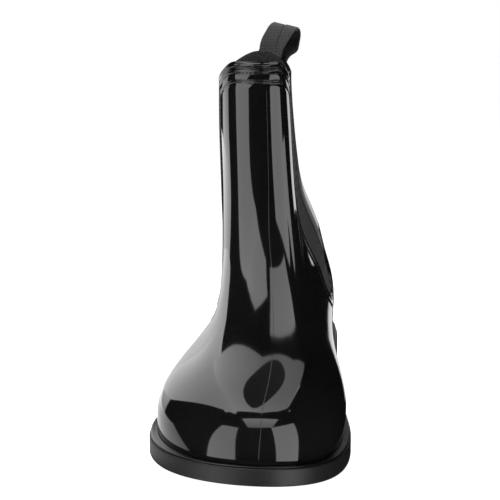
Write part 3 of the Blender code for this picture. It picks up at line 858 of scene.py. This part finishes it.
def pull_loop():
    """The webbing strap astride the back of the collar, with rounded edges and a fold along its middle."""
    path = np.array(list(LOOP_PATH.values())) * MM
    reach = distances(path)
    places = np.linspace(0, reach[-1], STRAP_STEPS)
    line = cubic(reach, path, places)
    run = np.gradient(line, axis=0)
    side = np.stack([run[:, 1], -run[:, 0]], axis=-1) / np.linalg.norm(run, axis=1)[:, None]
    half, thick = LOOP_WIDTH / 2, LOOP_THICKNESS / 2
    round_edge = np.linspace(-math.pi / 2, math.pi / 2, STRAP_EDGE)
    flat = np.linspace(-1, 1, STRAP_FLAT + 2)[1:-1] * (half - thick)
    edge_across, edge_out = half - thick + thick * np.cos(round_edge), thick * np.sin(round_edge)
    across = np.concatenate([flat, edge_across, flat[::-1], -edge_across, flat[:1]])
    face = np.full(len(flat), thick)
    out = np.concatenate([-face, edge_out, face, -edge_out, [-thick]])
    out = np.tile(out, (len(places), 1))
    on_front = np.broadcast_to(np.arange(len(across)) < len(flat), out.shape)
    start, end = CREASE_SPAN
    centre = CREASE_SLANT * (places - end)[:, None]
    fade = ease((places - start) / CREASE_FADE[0]) * ease((end + CREASE_PAST - places) / CREASE_FADE[1])
    crease = CREASE_DEPTH * np.exp(-(((across - centre) / CREASE_HALF) ** 2)) * fade[:, None]
    out[on_front] += crease[on_front]
    crown = ease((places - start) / CROWN_FADE[0]) * ease((reach[-1] - places) / CROWN_FADE[1])
    spot = line[:, None, :] + side[:, None, :] * out[..., None]
    spot[..., 1] -= CROWN_STEP * crown[:, None] * ease((across - centre) / (2 * CREASE_HALF) + 0.5)
    return weld_strap(loop_points(np.broadcast_to(across, spot.shape[:2]), spot[..., 0], spot[..., 1]))


def weld_strap(points):
    """A closed strap from loops of points, with its two ends filled."""
    first, second = STRAP_SPLIT
    outer = np.concatenate([points[:, second:-1], points[:, : first + 1]], axis=1)
    face = lay_grid("pull_loop_webbing", outer, WEBBING)
    # The back face takes the darker copy of the webbing, as painted shade inside the loop
    back = lay_grid("strap_back", points[:, first : second + 1], WEBBING_BACK_PAINTED_SHADE)
    ends = []
    for end in (points[0], points[-1]):
        middle = np.broadcast_to(end.mean(axis=0), end.shape)
        ends.append(lay_grid("strap_end", np.stack([end, middle]), WEBBING))
    return weld(face, back, *ends)


place_on_boot(pull_loop(), "loop_webbing", "pull_loop")


# Sole

def edge_ring(turn, inset, face, above):
    """Points along the sole's edge, moved inwards, at a height above its upper or lower face."""
    points = edge_points(turn)
    ahead = edge_points(turn + NUDGE) - edge_points(turn - NUDGE)
    inward = np.stack([-ahead[:, 1], ahead[:, 0]], axis=-1)
    inward /= np.linalg.norm(inward, axis=-1)[:, None]
    ring = points.copy()
    ring[:, :2] += np.reshape(inset, (-1, 1)) * inward
    ring[:, 2] = face(points[:, 1]) + above
    return ring + SHIFT


def welt():
    """The strip on the outsole around the upper's foot, low at the toe, with fine ridges along its top."""
    turn = np.linspace(-math.pi, math.pi, WELT_STEPS)
    low, full = WELT_TOE_TURNS
    height = WELT_HEIGHT * (WELT_TOE_SHARE + (1 - WELT_TOE_SHARE) * ease((np.abs(turn) - low) / (full - low)))
    foot, lip = (skin(level, turn, GAP) for level in (0.0, height / WALL_LEVEL_HEIGHT))
    foot[:, 2] = sole_top(foot[:, 1] - SHIFT[1]) + GAP
    lip[:, 2] = sole_top(lip[:, 1] - SHIFT[1]) + GAP + height
    rings = [foot, lip]
    outer = edge_ring(turn, WELT_INSET + WELT_ROUND, sole_top, GAP + height)
    ridge = WELT_RIDGE * height / WELT_HEIGHT
    for share in np.linspace(0, 1, RIDGE_STEPS * WELT_RIDGES + 1)[1:]:
        ring = lip + (outer - lip) * share
        ring[:, 2] = sole_top(ring[:, 1] - SHIFT[1]) + GAP + height
        ring[:, 2] -= ridge * (1 - abs(math.sin(WELT_RIDGES * math.pi * share)) ** RIDGE_POWER)
        rings.append(ring)
    drop = np.minimum(WELT_ROUND, height - ridge - WELT_LEAST_EDGE)
    for bend in np.linspace(0, math.pi / 2, ROUND_STEPS)[1:]:
        inset = WELT_INSET + WELT_ROUND * (1 - math.sin(bend))
        fall = ridge + drop * (1 - math.cos(bend))
        rings.append(edge_ring(turn, inset, sole_top, GAP + height - fall))
    rings.append(edge_ring(turn, WELT_INSET + WELT_UNDERCUT, sole_top, GAP))
    return weld(lay_grid("ridged_welt", np.array([*rings, foot]), WELT_RUBBER))


place_on_boot(welt(), "welt_matt_rubber", "welt")


def plate(name, rings, material):
    """A closed plate from rings of points, bottom to top, capped by strips across the foot."""
    sides = lay_grid(name, rings, material)
    half = rings.shape[1] // 2
    caps = []
    for ring in (rings[0], rings[-1]):
        left, right = ring[half::-1], ring[half:]
        share = np.linspace(0, 1, CAP_STEPS)[:, None, None]
        caps.append(lay_grid("cap", left * (1 - share) + right * share, material))
    return weld(sides, *caps)


def groove_cutter(places, width, depth):
    """Curved bars across the sole, one at each place, as one tool for cutting its tread."""
    bars = []
    for place in places:
        at = math.acos(1 - 2 * (place / SOLE_LENGTH + 0.5))
        left, right = edge_points(np.array([-at, at]))[:, 0]
        share = np.linspace(-1, 1, GROOVE_POINTS)
        x = (left + right) / 2 + share * ((right - left) / 2 - GROOVE_RIM)
        y = place - GROOVE_BEND * (1 - share**2)
        low, high = GROOVE_START, sole_bottom(place) + depth
        corners = [(-1, low), (1, low), (GROOVE_TAPER, high), (-GROOVE_TAPER, high), (-1, low)]
        lines = [np.stack([x, y + side * width / 2, np.full(len(x), z)], axis=-1) for side, z in corners]
        bar = np.stack(lines, axis=1) + SHIFT
        ends = [np.stack([bar[i, :2], bar[i, 3:1:-1]]) for i in (0, -1)]
        ends = [lay_grid("bar_end", end, SOLE_RUBBER) for end in ends]
        bars.append(weld(lay_grid("bar", bar, SOLE_RUBBER), *ends))
    select_only(*bars)
    bpy.ops.object.join()
    return bpy.context.object


def outsole():
    """The sole with its arch, heel block and rounded edges, cut by main grooves and fine sipes."""
    edges = np.array([BREAST, BREAST + BREAST_SLOPE]) / SOLE_LENGTH + 0.5
    half = np.sort(np.concatenate([np.linspace(0, math.pi, SOLE_STEPS)[1:], np.arccos(1 - 2 * edges)]))
    turn = np.concatenate([-half[::-1], [0], half])
    rings = []
    for bend in np.linspace(0, math.pi / 2, ROUND_STEPS):
        inset, rise = SOLE_ROUND * (1 - math.sin(bend)), SOLE_ROUND * (1 - math.cos(bend))
        rings.append(edge_ring(turn, inset, sole_bottom, rise))
    low = edge_ring(turn, 0, sole_bottom, SOLE_ROUND)
    high = edge_ring(turn, 0, sole_top, -SOLE_ROUND / 2)
    rings += [(1 - share) * low + share * high for share in np.linspace(0, 1, SIDE_STEPS)[1:-1]]
    for bend in np.linspace(0, math.pi / 2, ROUND_STEPS):
        inset, fall = SOLE_ROUND / 2 * (1 - math.cos(bend)), SOLE_ROUND / 2 * (1 - math.sin(bend))
        rings.append(edge_ring(turn, inset, sole_top, -fall))
    body = plate("treaded_outsole", np.array(rings), SOLE_RUBBER)
    rows = (FOREFOOT_GROOVES, HEEL_GROOVES)
    grooves, sipes = np.concatenate(rows), np.concatenate([(row[:-1] + row[1:]) / 2 for row in rows])
    cuts = ((grooves, GROOVE_WIDTH, GROOVE_DEPTH), (sipes, SIPE_WIDTH, SIPE_DEPTH))
    for places, width, depth in cuts:
        tool = groove_cutter(places, width, depth)
        cut = body.modifiers.new("tread_cut", "BOOLEAN")
        cut.operation, cut.solver, cut.object = "DIFFERENCE", "EXACT", tool
        select_only(body)
        bpy.ops.object.modifier_apply(modifier=cut.name)
        bpy.data.objects.remove(tool, do_unlink=True)
    bpy.ops.object.shade_smooth_by_angle(angle=SMOOTH_ANGLE)
    return body


place_on_boot(outsole(), "sole_matt_rubber", "outsole")


def insole():
    """The cloth-covered footbed inside the upper."""
    half = np.linspace(0, math.pi, INSOLE_STEPS)[1:]
    turn = np.concatenate([-half[::-1], [0], half])
    rings = []
    for above, inset in INSOLE_RINGS:
        rise = above * INSOLE_THICKNESS
        ring = skin(rise / WALL_LEVEL_HEIGHT, turn, -WALL - INSOLE_CLEARANCE - inset)
        ring[:, 2] = sole_top(ring[:, 1] - SHIFT[1]) + INSOLE_SEAT + rise
        rings.append(ring)
    body = plate("footbed", np.array(rings), FOOTBED)
    select_only(body)
    bpy.ops.object.shade_smooth_by_angle(angle=SMOOTH_ANGLE)
    return body


place_on_boot(insole(), "insole_fabric", "insole")


# Floor, light and camera

FLOOR_SIZE = 12
FLOOR_DROP = 0.2 * MM


def floor():
    """A plain white table top, lit to near white, that doesn't mirror in the gloss."""
    made, tree, shader, place = start_material("white_table", 0.9, 1.45)
    mottle(tree, shader, place, 300 * MM, "#f4f4f4", "#f8f8f8")
    shader.inputs["Emission Color"].default_value = linear("#ffffff")
    shader.inputs["Emission Strength"].default_value = 1.0
    select_only()
    bpy.ops.mesh.primitive_plane_add(size=FLOOR_SIZE, location=(0, 0, -FLOOR_DROP))
    table = bpy.context.object
    table.name = "floor"
    table.data.materials.append(made)
    table.visible_glossy = False
    table.visible_shadow = False


# Light panels: the place of each of the four corners in millimetres and the radiance there. A panel glows on
# the side that faces the lit place, and the round ones fill the oval inside their corners. They make, in this
# order, the gloss's stripes, bands and patches on the shaft, the vamp and the toe.
ROUND_PANELS = ("dark_card",)
LIT_PLACE = np.array([0.0, -0.05, 0.06])
PANEL_STEPS = 13
LIGHT_PANELS = {
    "left_strip": (
        (-175, -25, 150, 2.7), (-175, -160, 135, 2.7), (-175, -318, 450, 3.1), (-175, 20, 450, 3.1),
    ),
    "left_strip_top": (
        (-175, 20, 450, 3.1), (-175, -318, 450, 3.1), (-175, -395, 950, 3), (-175, 240, 950, 2.4),
    ),
    "left_canopy_front": (
        (-415, 110, 950, 3), (-500, -500, 950, 3), (-209, -443, 950, 3), (16, -171, 950, 2.8),
    ),
    "left_canopy_back": (
        (-415, 110, 950, 2.8), (16, -171, 950, 2.8), (20, 200, 950, 2.4), (-150, 315, 950, 2.2),
    ),
    "wall_low": ((-140, 300, -20, 0.3), (-190, 55, -20, 0.6), (-185, 55, 130, 2.3), (-140, 300, 130, 2)),
    "wall_high": ((-160, 230, 130, 1.5), (-185, 80, 130, 2.3), (-180, 125, 240, 0.7), (-160, 230, 240, 0.4)),
    "right_strip": ((175, -200, 205, 3), (175, 45, 165, 2.4), (175, 48, 220, 2.4), (175, -130, 340, 3)),
    "right_strip_tip": ((175, 20, 155, 2.4), (175, 118, 142, 1.4), (175, 100, 170, 1.4), (175, 45, 175, 2.4)),
    "right_canopy_near": (
        (32, 445, 950, 1.8), (110, -90, 950, 2.4), (280, -40, 950, 2.4), (250, 535, 950, 1.8),
    ),
    "right_canopy_far": (
        (250, 535, 950, 1.8), (280, -40, 950, 2.4), (750, 90, 950, 2.4), (600, 760, 950, 1.8),
    ),
    "right_back": ((128, 400, -100, 1.1), (70, 400, -100, 1.1), (70, 400, 5, 1.1), (128, 400, 5, 1.1)),
    "right_edge": ((180, 400, 88, 1.5), (30, 400, 56, 0.7), (30, 400, 200, 0.7), (180, 400, 200, 1.2)),
    "back_glow": ((35, 400, 80, 0.4), (-30, 400, 80, 0.4), (-30, 400, 200, 0.4), (35, 400, 200, 0.4)),
    "vamp_card": ((-60, -75, 35, 1.5), (-60, -175, 88, 3.6), (-60, -170, 200, 4.2), (-60, -60, 150, 3.1)),
    "waist_card": ((-60, -10, 20, 0.9), (-60, -75, 35, 1.5), (-60, -60, 150, 2.9), (-60, -10, 108, 2.9)),
    "arch_card": ((-60, 200, -5, 0.5), (-60, 55, 12.7, 0.7), (-60, 55, 85, 1.3), (-60, 200, 30, 0.6)),
    "arch_card_low": ((-60, 55, 12.7, 0.7), (-60, -10, 20, 0.9), (-60, -10, 65, 1.55), (-60, 55, 50, 0.95)),
    "arch_card_high": ((-60, 55, 50, 0.95), (-60, -10, 65, 1.55), (-60, -10, 108, 2.9), (-60, 55, 85, 2.2)),
    "vamp_canopy_left": (
        (-105, -170, 100, 4.2), (6, -179, 100, 2.8), (6, -73.5, 100, 1.2), (-62, -46, 100, 2.9),
    ),
    "vamp_canopy_right": ((6, -179, 100, 2.8), (45, -165, 100, 2.4), (40, -64, 100, 1), (6, -73.5, 100, 1.2)),
    "vamp_canopy_edge": ((45, -165, 100, 2.4), (66, -148, 100, 2.2), (64, -45, 100, 0.65), (40, -64, 100, 1)),
    "dark_card": ((42, -76, 96, 0.15), (-2, -76, 96, 0.1), (-30, -162, 96, 0.12), (14, -162, 96, 0.15)),
    "dark_wing": ((68, -150, 100, 0), (150, -140, 100, 0), (150, 30, 100, 0), (66, 0, 100, 0)),
    "floor_left": ((-58, -121, -4, 0.85), (-170, -35, -4, 0.75), (-190, 55, -4, 1.3), (-50, 55, -4, 1.3)),
    "floor_left_back": ((-50, 55, -4, 1.6), (-190, 55, -4, 1.6), (-190, 250, -4, 1.6), (-40, 250, -4, 1.6)),
    "toe_left": (
        (-600, 30, -750, 2.6), (-400, -440, -750, 2.6), (-335, -510, 131, 2.4), (-453, -359, 113, 2.4),
    ),
    "toe_right": ((300, -560, -750, 3), (560, -260, -750, 3), (475, -365, 237, 2.7), (133, -623, 217, 2.7)),
    "front_card": ((-66, -270, 74, 1.8), (52, -270, 84, 1.8), (105, -270, 165, 3), (-115, -270, 145, 3)),
}


def light_panels():
    """Cloth panels round the boot, out of the camera's sight, that glow on the side that faces the boot."""
    made = bpy.data.materials.new("soft_box_cloth")
    made.use_nodes = True
    tree = made.node_tree
    glow = add_node(tree, "ShaderNodeAttribute", {"attribute_name": "glow"})
    side = add_node(tree, "ShaderNodeNewGeometry")
    turned = side.outputs["Backfacing"]
    front = add_node(tree, "ShaderNodeMath", {"operation": "SUBTRACT", 0: 1.0}, {1: turned})
    factors = {0: glow.outputs["Fac"], 1: front.outputs["Value"]}
    lit = add_node(tree, "ShaderNodeMath", {"operation": "MULTIPLY"}, factors)
    cloth = add_node(tree, "ShaderNodeEmission", (), {"Strength": lit.outputs["Value"]})
    tree.links.new(cloth.outputs["Emission"], tree.nodes["Material Output"].inputs["Surface"])
    span = np.linspace(-1, 1, PANEL_STEPS)
    square = np.stack(np.meshgrid(span, span))
    disc = square * np.sqrt(1 - square[::-1] ** 2 / 2)
    for name, rows in LIGHT_PANELS.items():
        along, up = ((disc if name in ROUND_PANELS else square) + 1) / 2
        weights = np.stack([(1 - along) * (1 - up), along * (1 - up), along * up, (1 - along) * up], axis=-1)
        corners, radiance = np.array(rows)[:, :3] * MM, np.array(rows)[:, 3]
        facing = np.cross(corners[1] - corners[0], corners[3] - corners[0])
        if facing @ (LIT_PLACE - corners.mean(axis=0)) < 0:
            weights = weights[:, ::-1]
        box = lay_grid(name, weights @ corners, made)
        values = box.data.attributes.new("glow", "FLOAT", "POINT")
        values.data.foreach_set("value", (weights @ radiance).ravel())
        box.visible_camera = False


def backdrop():
    """White behind all that the camera sees, and darkness for the gloss to mirror between the lights."""
    world = bpy.data.worlds.new("studio")
    bpy.context.scene.world = world
    world.use_nodes = True
    tree = world.node_tree
    sight = add_node(tree, "ShaderNodeLightPath")
    tint = add_node(
        tree,
        "ShaderNodeMix",
        {"data_type": "RGBA", 6: linear("#0a0a0a"), 7: linear("#ffffff")},
        {0: sight.outputs["Is Camera Ray"]},
    )
    tree.links.new(tint.outputs[2], tree.nodes["Background"].inputs["Color"])


CAMERA_PLACE = (0.0569, -0.7213, 0.216)
CAMERA_TURN = (math.radians(80.077), 0, math.radians(5))
CAMERA_LENS = 96.83
CAMERA_SENSOR = 36
CAMERA_NEAR = 0.01


def camera():
    """The camera at the photograph's place, in front of the boot and slightly above it."""
    bpy.ops.object.camera_add(location=CAMERA_PLACE, rotation=CAMERA_TURN)
    eye = bpy.context.object
    eye.data.lens = CAMERA_LENS
    eye.data.sensor_width = CAMERA_SENSOR
    eye.data.clip_start = CAMERA_NEAR
    bpy.context.scene.camera = eye
    bpy.context.scene.view_settings.view_transform = "Standard"


floor()
light_panels()
backdrop()
camera()
